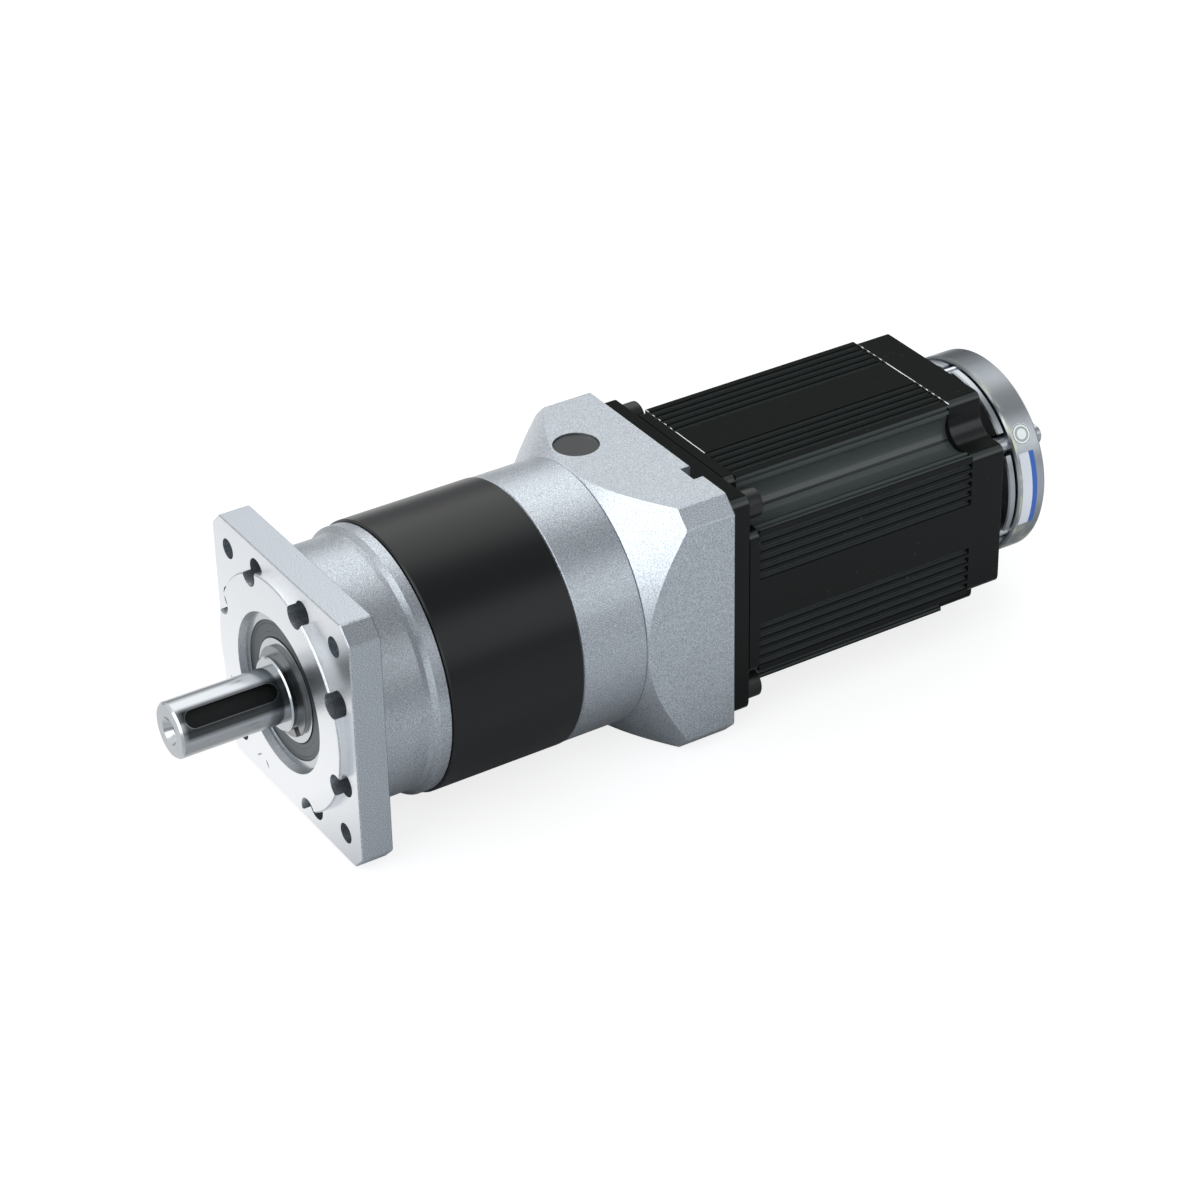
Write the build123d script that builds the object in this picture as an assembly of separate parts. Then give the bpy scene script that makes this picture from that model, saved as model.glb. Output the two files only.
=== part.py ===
from build123d import *
import os
from math import acos, cos, pi, radians, sin, tan

os.makedirs("parts", exist_ok=True)

# Planetary gearmotor with a holding brake, in millimetres.
# The origin is the centre of the output flange's mounting face. The output shaft points to minus Y,
# the motor and the brake lie behind the gearbox on plus Y, and Z is up.

# Fits and clearances
slip = 0.05                # radial room where one piece turns or slides in another
seat_room = 0.1            # room round a piece that drops into a pocket
screw_room = 0.25          # radial room of a screw in its through hole
axial_room = 0.3           # room between a turning piece and a still one beside it

# Output shaft
shaft_radius = 9.5
shaft_reach = 41.3         # from the flange face to the shaft's end
shaft_chamfer = 0.7
shoulder_reach = 4.6       # from the flange face to the front of the shaft's shoulder
key_width = 6.0
key_length = 32.0
key_depth = 3.5
key_inset = 2.7            # from the shaft's end to the keyway
key_angle = 43.0           # degrees from plus X towards plus Z
seam_turn = 29.0           # keeps the seam of the shaft's round wall clear of the keyway
centre_sink_radius = 4.75
centre_relief_radius = 3.2
centre_relief_depth = 5.0
centre_tap_radius = 2.5
centre_tap_depth = 20.0

# Output flange and housing
flange_width = 90.0
flange_thickness = 11.1
flange_chamfer = 5.3
flange_hole_spacing = 69.6
flange_hole_radius = 3.5
pilot_radius = 40.0
pilot_height = 3.0
edge_break = 0.5
outline_break = 0.4        # on the sharp outlines of the flanges, the adapter and the rear bell
neck_radius = 43.0
collar_radius = 45.2
neck_step_at = 28.6        # where the neck widens to the collar
neck_step_length = 1.6
output_housing_end = 34.5
spigot_radius = 36.2
spigot_length = 3.0

# Ring of screws that clamps both housings to the ring gear
ring_screw_count = 8
ring_screw_circle = 39.5
ring_screw_start = 22.5    # degrees
ring_screw_size = 4.0
front_sink_radius = 4.3    # counterbore of the front screws
front_sink_depth = 12.0    # from the pilot's face
front_screw_length = 35.0
rear_sink_depth = 5.0
rear_screw_length = 30.0
ring_thread_depth = 12.0

# Gears
gear_module = 1.5
sun_teeth = 15
planet_teeth = 15
ring_teeth = 45
planet_count = 3
pressure_angle = 25.0
flank_room = 0.08          # each flank stands back by this much
tip_room = 0.25
gear_width = 22.0
first_planet_angle = 90.0

# Ring gear sleeve, input housing and motor adapter
ring_gear_radius = 46.0
ring_gear_length = 48.1
input_housing_radius = 45.75
input_housing_length = 24.1
adapter_half_width = 45.77
adapter_chamfer = 5.55
adapter_length = 33.8
adapter_cavity_radius = 27.0
adapter_cavity_end = 3.0   # land left for the motor's pilot
cone_slope = 0.99          # radius gained per millimetre behind the input housing
adapter_screw_size = 5.0
adapter_screw_length = 22.0
adapter_screw_seat = 11.3  # from the adapter's front face
plug_radius = 7.85
plug_thickness = 3.2
plug_sink = 0.6
access_hole_radius = 5.5
clamp_offset = -12.9       # X of the clamp screw and of its access hole
clamp_from_adapter = 10.7  # from the adapter's front face
notch_width = 8.0
notch_length = 4.0
notch_depth = 5.0
notch_left = 19.7

# Carrier and planets
carrier_rim_room = 1.25    # between the carrier's rim and the ring gear's teeth
carrier_hub_radius = 16.0
carrier_disc = 7.0
carrier_gap = 1.0          # between a planet's side and the carrier disc
pillar_radius = 6.5
pillar_offset = 1.0        # the pillars stand this much outside the pins' circle
pin_radius = 5.0
bush_wall = 2.0

# Bearings: outer radius, bore radius, width
motor_shaft_radius = 7.0
output_bearing = (26.0, shaft_radius + 3, 15.0)
input_bearing = (23.5, 12.5, 12.0)
motor_bearing = (17.5, motor_shaft_radius + 0.5, 11.0)
output_bearing_at = -0.4   # front face of the first output bearing
output_bearing_spacing = 4.0
shaft_clip_angle = -50.0   # where the shaft's circlip is open
ball_count = 8
shield_depth = 1.1
shield_thickness = 0.8
shield_room = 0.3        # between a shield and the inner race
circlip_width = 1.2
circlip_depth = 0.7       # of its groove

# Input side of the gearbox
sun_shank_radius = 8.5
sun_tail_radius = 6.0
sun_tail_length = 17.0
hub_start_room = 3.6
input_bearing_at = 5.4     # from the input housing's joint face to the bearing
seal_width = 5.6
clamp_hub_radius = 20.0
clamp_hub_length = 17.7
seal_land_radius = 14.5
slit_width = 1.2
clamp_screw_size = 5.0
clamp_screw_length = 18.0
clamp_head_at = 6.0

# Motor
motor_half_width = 41.0
motor_flange_thickness = 9.1
motor_flange_corner = 3.5
motor_step_length = 3.9
motor_body_length = 86.5
rear_bell_length = 13.5
motor_pilot_radius = 30.0
motor_pilot_length = 2.8
motor_screw_spacing = 69.6
motor_screw_size = 6.0
motor_screw_length = 20.0
notch_edge = 27.0          # the corner coves start here
bell_cove_radius = 8.0
body_cove_radius = 6.6
body_cove_centre = 32.0
ridge_round = 3.0
rib_pitch = 3.5
rib_count = 5              # grooves on each side of the flat band
groove_top = 2.3
groove_bottom = 1.5
groove_depth = 2.0
flat_half_width = 8.5
cove_groove_count = 3
cove_groove_pitch = 2.6
cove_groove_depth = 0.9
cove_groove_width = 1.4
body_bore_radius = 35.5
rotor_shaft_radius = motor_bearing[1] + 1
motor_shaft_reach = 29.5   # in front of the motor flange's face
body_screw_x = 22.0
body_screw_z = 36.0
body_screw_size = 4.0
body_screw_length = 16.0
body_screw_sink = 5.0
wave_washer_height = 0.8
bell_boss_radius = 22.0
bell_boss_length = 4.0

# Stator and rotor
stack_length = 60.0
stack_start = 11.5         # from the front of the finned body
stator_inner_radius = 19.2
slot_count = 12
slot_width = 5.2
slot_depth = 11.0
winding_overhang = 8.0
rotor_core_radius = 15.8
magnet_count = 8
magnet_thickness = 2.8
magnet_gap_degrees = 5.0

# Brake
brake_plate_radius = 34.0
brake_plate_thickness = 2.0
brake_bore_radius = 10.0
brake_disc_radius = 27.0
brake_disc_thickness = 5.5
brake_hub_flats = 18.0
brake_hub_length = 8.0
armature_radius = 35.0
armature_thickness = 3.0
armature_bore_radius = 14.0
armature_travel = 0.3
armature_edge = 0.5
magnet_body_radius = 36.0
magnet_body_length = 11.7
magnet_body_corner = 1.0
coil_outer_radius = 28.8
coil_inner_radius = 17.2
coil_depth = 7.0
brake_screw_circle = 31.0
brake_screw_start = 33.0
brake_screw_size = 4.0
brake_screw_head = 2.4     # low heads
brake_sleeve_radius = 3.4
guide_pin_radius = 1.9
guide_pin_circle = 33.0
guide_room = 0.6
brake_screw_length = 30.0
spring_radius = 1.8
spring_circle = 13.6
spring_pocket_depth = 7.0

# Stations along the shaft, front to back
ring_gear_at = output_housing_end
input_housing_at = ring_gear_at + ring_gear_length
adapter_at = input_housing_at + input_housing_length
motor_at = adapter_at + adapter_length
motor_step_at = motor_at + motor_flange_thickness
body_at = motor_step_at + motor_step_length
bell_at = body_at + motor_body_length
bell_end = bell_at + rear_bell_length
brake_plate_end = bell_end + brake_plate_thickness
brake_disc_at = brake_plate_end + axial_room
armature_at = brake_disc_at + brake_disc_thickness + axial_room
magnet_body_at = armature_at + armature_thickness + armature_travel + 0.2
magnet_body_end = magnet_body_at + magnet_body_length
rear_output_bearing_at = output_bearing_at + output_bearing[2] + output_bearing_spacing
output_bearings_end = rear_output_bearing_at + output_bearing[2]
carrier_at = ring_gear_at + spigot_length + axial_room * 3
planets_at = carrier_at + carrier_disc + carrier_gap
planets_end = planets_at + gear_width
carrier_rear_at = planets_end + carrier_gap
carrier_end = carrier_rear_at + carrier_disc
front_input_bearing_at = input_housing_at + input_bearing_at
input_bearing_end = front_input_bearing_at + input_bearing[2]
hub_start = front_input_bearing_at - hub_start_room
seal_at = input_bearing_end + seat_room
clamp_at = adapter_at + clamp_from_adapter
clamp_hub_at = adapter_at + axial_room * 2
clamp_hub_end = clamp_hub_at + clamp_hub_length
front_motor_bearing_at = motor_at + 1.5
rear_motor_bearing_at = bell_at - 1.5
stack_at = body_at + stack_start
stack_end = stack_at + stack_length
motor_shaft_at = motor_at - motor_shaft_reach

# Gear sizes that follow from the teeth
sun_pitch_radius = gear_module * sun_teeth / 2
planet_pitch_radius = gear_module * planet_teeth / 2
planet_circle = sun_pitch_radius + planet_pitch_radius
ring_tip_radius = gear_module * (ring_teeth / 2 - 1)
carrier_radius = ring_tip_radius - carrier_rim_room
pillar_circle = planet_circle + pillar_offset
planet_angles = [first_planet_angle + 360 / planet_count * k for k in range(planet_count)]

# Socket screws: head radius, head height, key size across flats, by thread size
screw_heads = {4.0: (3.5, 4.0, 3.0), 5.0: (4.25, 5.0, 4.0), 6.0: (5.0, 6.0, 5.0)}


def across(y):
    return Plane(origin=(0, y, 0), x_dir=(1, 0, 0), z_dir=(0, -1, 0))


def bar(outline, front, back):
    return extrude(across(front) * outline, amount=back - front, dir=(0, 1, 0))


def ring(outer, inner, front, back):
    return bar(Circle(outer) - Circle(inner), front, back)


def turned(*profile):
    return revolve(make_face(Polyline(*profile, close=True)), Axis.Y)


def polar(radius, angle):
    return (radius * cos(radians(angle)), radius * sin(radians(angle)))


def around(radius, count, start):
    return [polar(radius, start + 360 / count * k) for k in range(count)]


def corners(spacing_x, spacing_z):
    return [(sx * spacing_x / 2, sz * spacing_z / 2) for sx in (-1, 1) for sz in (-1, 1)]


def drilled(centres, radius, front, back):
    holes = Sketch() + [Pos(x, z) * Circle(radius) for x, z in centres]
    return bar(holes, front, back)


def cap_screw(size, length, low_head=None):
    head_radius, head_height, key = screw_heads[size]
    head_height = low_head or head_height
    body = Pos(0, 0, head_height / 2) * Cylinder(head_radius, head_height)
    body = chamfer(body.edges().group_by(Axis.Z)[-1], 0.4)
    socket = extrude(Plane.XY.offset(head_height) * RegularPolygon(key / 2, 6, major_radius=False),
                     amount=-head_height / 2)
    return body - socket + Pos(0, 0, -length / 2) * Cylinder(size / 2, length)


def screws_facing_front(size, length, centres, seat):
    return [Pos(x, seat, z) * Rot(90, 0, 0) * cap_screw(size, length) for x, z in centres]


def screws_facing_back(size, length, centres, seat, low_head=None):
    return [Pos(x, seat, z) * Rot(-90, 0, 0) * cap_screw(size, length, low_head) for x, z in centres]


# Involute tooth outline
def involute(angle):
    return tan(angle) - angle


def tooth_half_angle(radius, teeth, flank_shift):
    pitch = gear_module * teeth / 2
    base = pitch * cos(radians(pressure_angle))
    at = acos(min(1.0, base / radius))
    return pi / (2 * teeth) + flank_shift / pitch + involute(radians(pressure_angle)) - involute(at)


def gear_outline(teeth, tip, root, flank_shift, first_angle):
    base = gear_module * teeth / 2 * cos(radians(pressure_angle))
    flank_start = max(base, root)
    flank_middle = (flank_start + tip) / 2
    start_half = tooth_half_angle(flank_start, teeth, flank_shift)
    middle_half = tooth_half_angle(flank_middle, teeth, flank_shift)
    tip_half = tooth_half_angle(tip, teeth, flank_shift)
    edges = []
    for k in range(teeth):
        centre = radians(first_angle) + 2 * pi * k / teeth
        following = centre + 2 * pi / teeth

        def at(radius, angle):
            return (radius * cos(angle), radius * sin(angle))

        if root < flank_start:
            edges.append(Line(at(root, centre - start_half), at(flank_start, centre - start_half)))
            edges.append(Line(at(flank_start, centre + start_half), at(root, centre + start_half)))
        edges.append(ThreePointArc(at(flank_start, centre - start_half),
                                   at(flank_middle, centre - middle_half),
                                   at(tip, centre - tip_half)))
        edges.append(Line(at(tip, centre - tip_half), at(tip, centre + tip_half)))
        edges.append(ThreePointArc(at(tip, centre + tip_half),
                                   at(flank_middle, centre + middle_half),
                                   at(flank_start, centre + start_half)))
        edges.append(Line(at(root, centre + start_half), at(root, following - start_half)))
    return make_face(Wire(Curve() + edges))


def outer_gear(teeth, first_angle):
    pitch = gear_module * teeth / 2
    return gear_outline(teeth, pitch + gear_module, pitch - gear_module - tip_room,
                        -flank_room, first_angle)


def ring_gear_cutter():
    pitch = gear_module * ring_teeth / 2
    return gear_outline(ring_teeth, pitch + gear_module + tip_room, pitch - gear_module,
                        flank_room, first_planet_angle)


# Ball bearings
def ball_sizes(bearing):
    outer, bore, width = bearing
    pitch = (outer + bore) / 2
    ball = (outer - bore) * 0.29
    return pitch, ball


def race_lands(bearing):
    outer, bore, width = bearing
    pitch, ball = ball_sizes(bearing)
    outer_land = pitch + ball * 0.45
    return outer_land, pitch - ball * 0.45, outer_land + (outer - outer_land) * 0.53


def ball_track(bearing, front):
    pitch, ball = ball_sizes(bearing)
    return Pos(0, front + bearing[2] / 2, 0) * Rot(90, 0, 0) * Torus(pitch, ball + slip)


def outer_race(bearing, front):
    outer, bore, width = bearing
    outer_land, inner_land, shield_seat = race_lands(bearing)
    back = front + width
    body = turned((outer, front), (outer, back), (shield_seat, back), (shield_seat, back - shield_depth),
                  (outer_land, back - shield_depth), (outer_land, front + shield_depth),
                  (shield_seat, front + shield_depth), (shield_seat, front))
    return body - ball_track(bearing, front)


def inner_race(bearing, front):
    outer, bore, width = bearing
    outer_land, inner_land, shield_seat = race_lands(bearing)
    return ring(inner_land, bore, front, front + width) - ball_track(bearing, front)


def balls(bearing, front):
    pitch, ball = ball_sizes(bearing)
    return [Pos(x, front + bearing[2] / 2, z) * Sphere(ball) for x, z in around(pitch, ball_count, 10)]


def shields(bearing, front):
    outer_land, inner_land, shield_seat = race_lands(bearing)
    inset = shield_depth - shield_thickness
    back = front + bearing[2]
    return [ring(shield_seat, inner_land + shield_room, front + inset, front + shield_depth),
            ring(shield_seat, inner_land + shield_room, back - shield_depth, back - inset)]


# Gearbox housings
def output_housing():
    half = flange_width / 2
    flange = bar(chamfer(Rectangle(flange_width, flange_width).vertices(), flange_chamfer),
                 0, flange_thickness)
    flange = chamfer(flange.edges(), outline_break)
    end = output_housing_end
    step_end = neck_step_at + neck_step_length
    body = turned((0, -pilot_height), (pilot_radius - edge_break, -pilot_height),
                  (pilot_radius, -pilot_height + edge_break), (pilot_radius, flange_thickness),
                  (neck_radius, flange_thickness), (neck_radius, neck_step_at - 1.5),
                  (neck_radius + 0.5, neck_step_at), (collar_radius, step_end),
                  (collar_radius, end - edge_break), (collar_radius - edge_break, end),
                  (spigot_radius, end), (spigot_radius, end + spigot_length), (0, end + spigot_length))
    seat = output_bearing[0]
    bearing_front = output_bearing_at
    shelf_start = output_bearing_at + output_bearing[2]
    bore = turned((0, -pilot_height), (seat + 1.1, -pilot_height), (seat, bearing_front - 0.4),
                  (seat, shelf_start), (seat - 3, shelf_start), (seat - 3, rear_output_bearing_at),
                  (seat, rear_output_bearing_at), (seat, end + spigot_length),
                  (0, end + spigot_length))
    clip_groove = ring(seat + circlip_depth, seat - 1, output_bearings_end,
                       output_bearings_end + circlip_width)
    screw_places = around(ring_screw_circle, ring_screw_count, ring_screw_start)
    sinks = drilled(screw_places, front_sink_radius, -pilot_height, front_sink_depth - pilot_height)
    shanks = drilled(screw_places, ring_screw_size / 2 + screw_room, 0, end)
    mounting = drilled(corners(flange_hole_spacing, flange_hole_spacing), flange_hole_radius,
                       0, flange_thickness)
    return flange + body - bore - clip_groove - sinks - shanks - mounting


def ring_gear():
    front, back = ring_gear_at, input_housing_at
    body = turned((0, front), (ring_gear_radius - edge_break, front),
                  (ring_gear_radius, front + edge_break), (ring_gear_radius, back - edge_break),
                  (ring_gear_radius - edge_break, back), (0, back))
    toothed = bar(ring_gear_cutter(), front, back)
    recess = Circle(spigot_radius)
    screw_places = around(ring_screw_circle, ring_screw_count, ring_screw_start)
    threads = drilled(screw_places, ring_screw_size / 2, front, front + ring_thread_depth)
    rear_threads = drilled(screw_places, ring_screw_size / 2, back - ring_thread_depth, back)
    return (body - toothed - bar(recess, front, front + spigot_length)
            - bar(recess, back - spigot_length, back) - threads - rear_threads)


def input_housing():
    front, back = input_housing_at, adapter_at
    seat = input_bearing[0]
    body = turned((0, front - spigot_length), (spigot_radius, front - spigot_length),
                  (spigot_radius, front), (input_housing_radius - edge_break, front),
                  (input_housing_radius, front + edge_break), (input_housing_radius, back - edge_break),
                  (input_housing_radius - edge_break, back), (0, back))
    bore = turned((0, front - spigot_length), (seat - 3, front - spigot_length),
                  (seat - 3, front_input_bearing_at), (seat, front_input_bearing_at),
                  (seat, back), (0, back))
    places = around(ring_screw_circle, ring_screw_count, ring_screw_start)
    head_radius = screw_heads[ring_screw_size][0]
    sinks = drilled(places, head_radius + screw_room, back - rear_sink_depth, back)
    shanks = drilled(places, ring_screw_size / 2 + screw_room, front, back)
    thread_depth = adapter_screw_length - adapter_screw_seat + 1
    threads = drilled(around(ring_screw_circle, 4, 45), adapter_screw_size / 2, back - thread_depth, back)
    return body - bore - sinks - shanks - threads


def motor_adapter():
    front, back = adapter_at, motor_at
    side = 2 * adapter_half_width
    block = bar(chamfer(Rectangle(side, side).vertices(), adapter_chamfer), front, back)
    block = chamfer(block.edges(), outline_break)
    cone_end = input_housing_radius + cone_slope * adapter_length
    cone = turned((0, front), (input_housing_radius, front), (cone_end, back), (0, back))
    cavity = turned((0, front), (adapter_cavity_radius, front),
                    (adapter_cavity_radius, back - adapter_cavity_end),
                    (motor_pilot_radius + slip, back - adapter_cavity_end),
                    (motor_pilot_radius + slip, back), (0, back))
    places = around(ring_screw_circle, 4, 45)
    seat = front + adapter_screw_seat
    sinks = drilled(places, screw_heads[adapter_screw_size][0] + screw_room, seat, back)
    shanks = drilled(places, adapter_screw_size / 2 + screw_room, front, seat)
    threads = drilled(corners(motor_screw_spacing, motor_screw_spacing), motor_screw_size / 2,
                      motor_step_at - motor_screw_length, back)
    top = adapter_half_width
    plug_depth = plug_thickness + plug_sink
    access = Pos(clamp_offset, clamp_at, top / 2) * Cylinder(access_hole_radius, top)
    plug_seat = Pos(clamp_offset, clamp_at, top - plug_depth / 2) * Cylinder(plug_radius, plug_depth)
    notch = Pos(notch_left + notch_width / 2, back - notch_length / 2, top - notch_depth / 2) * Box(
        notch_width, notch_length, notch_depth)
    return (block & cone) - cavity - sinks - shanks - threads - access - plug_seat - notch


def access_plug():
    disc = Pos(clamp_offset, clamp_at, adapter_half_width - plug_sink - plug_thickness / 2) * Cylinder(
        plug_radius, plug_thickness)
    return chamfer(disc.edges().group_by(Axis.Z)[-1], 0.3)


# Output shaft with the planet carrier in one piece
def output_shaft():
    tip = -shaft_reach
    bore = output_bearing[1]
    groove_at = output_bearing_at - circlip_width
    shaft = turned((0, tip), (shaft_radius - shaft_chamfer, tip), (shaft_radius, tip + shaft_chamfer),
                   (shaft_radius, -shoulder_reach), (bore - edge_break, -shoulder_reach),
                   (bore, -shoulder_reach + edge_break), (bore, groove_at), (bore - circlip_depth, groove_at),
                   (bore - circlip_depth, output_bearing_at), (bore, output_bearing_at),
                   (bore, output_bearings_end), (carrier_hub_radius, output_bearings_end),
                   (carrier_hub_radius, carrier_at), (carrier_radius, carrier_at),
                   (carrier_radius, carrier_at + carrier_disc), (0, carrier_at + carrier_disc))
    tail = ring(carrier_radius, sun_pitch_radius + gear_module + carrier_gap, carrier_rear_at, carrier_end)
    pillars = drilled(around(pillar_circle, planet_count, first_planet_angle + 180 / planet_count),
                      pillar_radius, carrier_at, carrier_end)
    pin_holes = drilled([polar(planet_circle, a) for a in planet_angles], pin_radius,
                        carrier_at, carrier_end)
    slot = SlotOverall(key_length, key_width)
    slot_centre = tip + key_inset + key_length / 2
    slot_plane = Plane(origin=(0, slot_centre, 0), x_dir=(0, 1, 0),
                       z_dir=(cos(radians(key_angle)), 0, sin(radians(key_angle))))
    key_floor = shaft_radius - key_depth
    keyway = extrude(slot_plane.offset(key_floor) * slot, amount=key_depth + 1)
    sink_depth = (centre_sink_radius - centre_relief_radius) * tan(radians(60))
    centre_hole = turned((0, tip), (centre_sink_radius, tip), (centre_relief_radius, tip + sink_depth),
                         (centre_relief_radius, tip + centre_relief_depth),
                         (centre_tap_radius, tip + centre_relief_depth),
                         (centre_tap_radius, tip + centre_tap_depth), (0, tip + centre_tap_depth + 1.5))
    return Rot(0, seam_turn, 0) * shaft + tail + pillars - pin_holes - keyway - centre_hole


def planet_pins():
    return [bar(Pos(*polar(planet_circle, a)) * Circle(pin_radius), carrier_at, carrier_end)
            for a in planet_angles]


def planet_gear(angle):
    outline = outer_gear(planet_teeth, angle) - Circle(pin_radius + bush_wall)
    return bar(Pos(*polar(planet_circle, angle)) * outline, planets_at, planets_end)


def planet_bush(angle):
    outline = Circle(pin_radius + bush_wall) - Circle(pin_radius + slip)
    return bar(Pos(*polar(planet_circle, angle)) * outline, planets_at, planets_end)


def open_clip(outer, inner, front, gap_angle, gap_width):
    band = ring(outer, inner, front, front + circlip_width)
    gap = Rot(0, -gap_angle, 0) * Pos((outer + inner) / 2, front + circlip_width / 2, 0) * Box(
        (outer - inner) * 2, circlip_width * 2, gap_width)
    return band - gap


# Input side: sun pinion pressed into the clamp hub
def sun_gear():
    teeth = bar(outer_gear(sun_teeth, first_planet_angle), planets_at, planets_end)
    shank = turned((0, planets_at), (sun_pitch_radius - gear_module - tip_room, planets_at),
                   (sun_pitch_radius - gear_module - tip_room, planets_end),
                   (sun_shank_radius, planets_end), (sun_shank_radius, hub_start),
                   (sun_tail_radius, hub_start), (sun_tail_radius, hub_start + sun_tail_length),
                   (0, hub_start + sun_tail_length))
    return teeth + shank


def clamp_hub():
    bore = input_bearing[1]
    groove_at = front_input_bearing_at - circlip_width
    body = turned((0, hub_start), (bore, hub_start), (bore, groove_at), (bore - circlip_depth, groove_at),
                  (bore - circlip_depth, front_input_bearing_at), (bore, front_input_bearing_at),
                  (bore, input_bearing_end), (seal_land_radius, input_bearing_end),
                  (seal_land_radius, clamp_hub_at), (clamp_hub_radius, clamp_hub_at),
                  (clamp_hub_radius, clamp_hub_end), (0, clamp_hub_end))
    front_bore = bar(Circle(sun_tail_radius), hub_start, hub_start + sun_tail_length)
    shaft_bore = bar(Circle(motor_shaft_radius), motor_shaft_at - 1, clamp_hub_end)
    slit = Pos(-clamp_hub_radius / 2 - 1, (motor_shaft_at + clamp_hub_end) / 2, 0) * Box(
        clamp_hub_radius, clamp_hub_end - motor_shaft_at, slit_width)
    shank_top = clamp_head_at
    shank_length = clamp_screw_length
    thread = Pos(clamp_offset, clamp_at, shank_top - shank_length / 2) * Cylinder(
        clamp_screw_size / 2, shank_length)
    sink = Pos(clamp_offset, clamp_at, shank_top + clamp_hub_radius / 2) * Cylinder(
        screw_heads[clamp_screw_size][0] + screw_room, clamp_hub_radius)
    return body - front_bore - shaft_bore - slit - thread - sink


def clamp_screw():
    return Pos(clamp_offset, clamp_at, clamp_head_at) * cap_screw(clamp_screw_size, clamp_screw_length)


# Motor
def corner_notches(edge, inner_round):
    reach = motor_half_width + 2
    centre = edge + inner_round
    cut = Sketch()
    for sx in (-1, 1):
        for sz in (-1, 1):
            square = Pos(sx * (edge + reach) / 2, sz * (edge + reach) / 2) * Rectangle(
                reach - edge, reach - edge)
            inner = Pos(sx * (edge + inner_round / 2), sz * (edge + inner_round / 2)) * Rectangle(
                inner_round, inner_round)
            cut += square - (inner - Pos(sx * centre, sz * centre) * Circle(inner_round))
    return cut


def smooth_motor_outline():
    side = 2 * motor_half_width
    outline = Rectangle(side, side) - corner_notches(notch_edge, bell_cove_radius)
    ridges = [v for v in outline.vertices()
              if abs(max(abs(v.X), abs(v.Y)) - motor_half_width) < 0.01]
    return fillet(ridges, ridge_round)


def rib_groove(offset):
    top, bottom = motor_half_width + 0.01, motor_half_width - groove_depth
    return make_face(Polyline((offset - groove_top / 2, top), (offset - groove_bottom / 2, bottom),
                              (offset + groove_bottom / 2, bottom), (offset + groove_top / 2, top),
                              close=True))


def finned_outline():
    side = 2 * motor_half_width
    centre = body_cove_centre
    outline = Rectangle(side, side) - corner_notches(notch_edge, 0.5)
    coves = Sketch() + [Pos(sx * centre, sz * centre) * Circle(body_cove_radius)
                        for sx in (-1, 1) for sz in (-1, 1)]
    outline -= coves
    grooves = Sketch()
    for k in range(rib_count):
        offset = flat_half_width + groove_top / 2 + rib_pitch * k
        grooves += rib_groove(offset)
        grooves += rib_groove(-offset)
    for k in range(cove_groove_count):
        height = motor_half_width - cove_groove_pitch * (k + 0.8)
        for side_of in (-1, 1):
            grooves += Pos(side_of * (notch_edge - cove_groove_depth / 2), height) * Rectangle(
                cove_groove_depth, cove_groove_width)
    for quarter in range(4):
        outline -= Rot(0, 0, 90 * quarter) * grooves
    for quarter in range(4):
        mirrored = Rot(0, 0, 90 * quarter) * mirror(grooves, Plane.YZ)
        outline -= mirrored
    return outline


def motor_front_flange():
    side = 2 * motor_half_width
    plate = bar(fillet(Rectangle(side, side).vertices(), motor_flange_corner), motor_at, motor_step_at)
    plate = chamfer(plate.faces().sort_by(Axis.Y)[-1].edges(), outline_break)
    step = bar(smooth_motor_outline(), motor_step_at, body_at)
    pilot = bar(Circle(motor_pilot_radius), motor_at - motor_pilot_length, motor_at)
    seat = motor_bearing[0]
    bore = turned((0, motor_at - motor_pilot_length), (motor_shaft_radius + 1, motor_at - motor_pilot_length),
                  (motor_shaft_radius + 1, front_motor_bearing_at), (seat, front_motor_bearing_at),
                  (seat, body_at), (0, body_at))
    mounting = drilled(corners(motor_screw_spacing, motor_screw_spacing),
                       motor_screw_size / 2 + screw_room, motor_at, body_at)
    places = corners(2 * body_screw_x, 2 * body_screw_z)
    sinks = drilled(places, screw_heads[body_screw_size][0] + screw_room, motor_at,
                    motor_at + body_screw_sink)
    shanks = drilled(places, body_screw_size / 2 + screw_room, motor_at, body_at)
    return plate + step + pilot - bore - mounting - sinks - shanks


def motor_housing():
    body = bar(finned_outline() - Circle(body_bore_radius), body_at, bell_at)
    threads = drilled(corners(2 * body_screw_x, 2 * body_screw_z), body_screw_size / 2,
                      body_at, body_at + 12)
    rear_threads = drilled(corners(2 * body_screw_x, 2 * body_screw_z), body_screw_size / 2,
                           bell_at - 12, bell_at)
    return body - threads - rear_threads


def rear_bell():
    boss_at = bell_at - bell_boss_length
    seat = motor_bearing[0]
    bearing_end = rear_motor_bearing_at + motor_bearing[2]
    shell = bar(smooth_motor_outline(), bell_at, bell_end)
    shell = chamfer(shell.faces().sort_by(Axis.Y)[-1].edges(), outline_break)
    body = shell + bar(Circle(bell_boss_radius), boss_at, bell_at)
    bore = turned((0, boss_at), (seat, boss_at), (seat, bearing_end + wave_washer_height),
                  (motor_shaft_radius + 1.5, bearing_end + wave_washer_height), (motor_shaft_radius + 1.5, bell_end),
                  (0, bell_end))
    places = corners(2 * body_screw_x, 2 * body_screw_z)
    sinks = drilled(places, screw_heads[body_screw_size][0] + screw_room,
                    bell_end - body_screw_sink, bell_end)
    shanks = drilled(places, body_screw_size / 2 + screw_room, bell_at, bell_end)
    threads = drilled(around(brake_screw_circle, 3, brake_screw_start), brake_screw_size / 2,
                      bell_end - 9, bell_end)
    gland_hole = Pos(-motor_half_width, (bell_at + bell_end) / 2, 0) * Rot(0, 90, 0) * Cylinder(3.5, 16)
    return body - bore - sinks - shanks - threads - gland_hole


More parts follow.
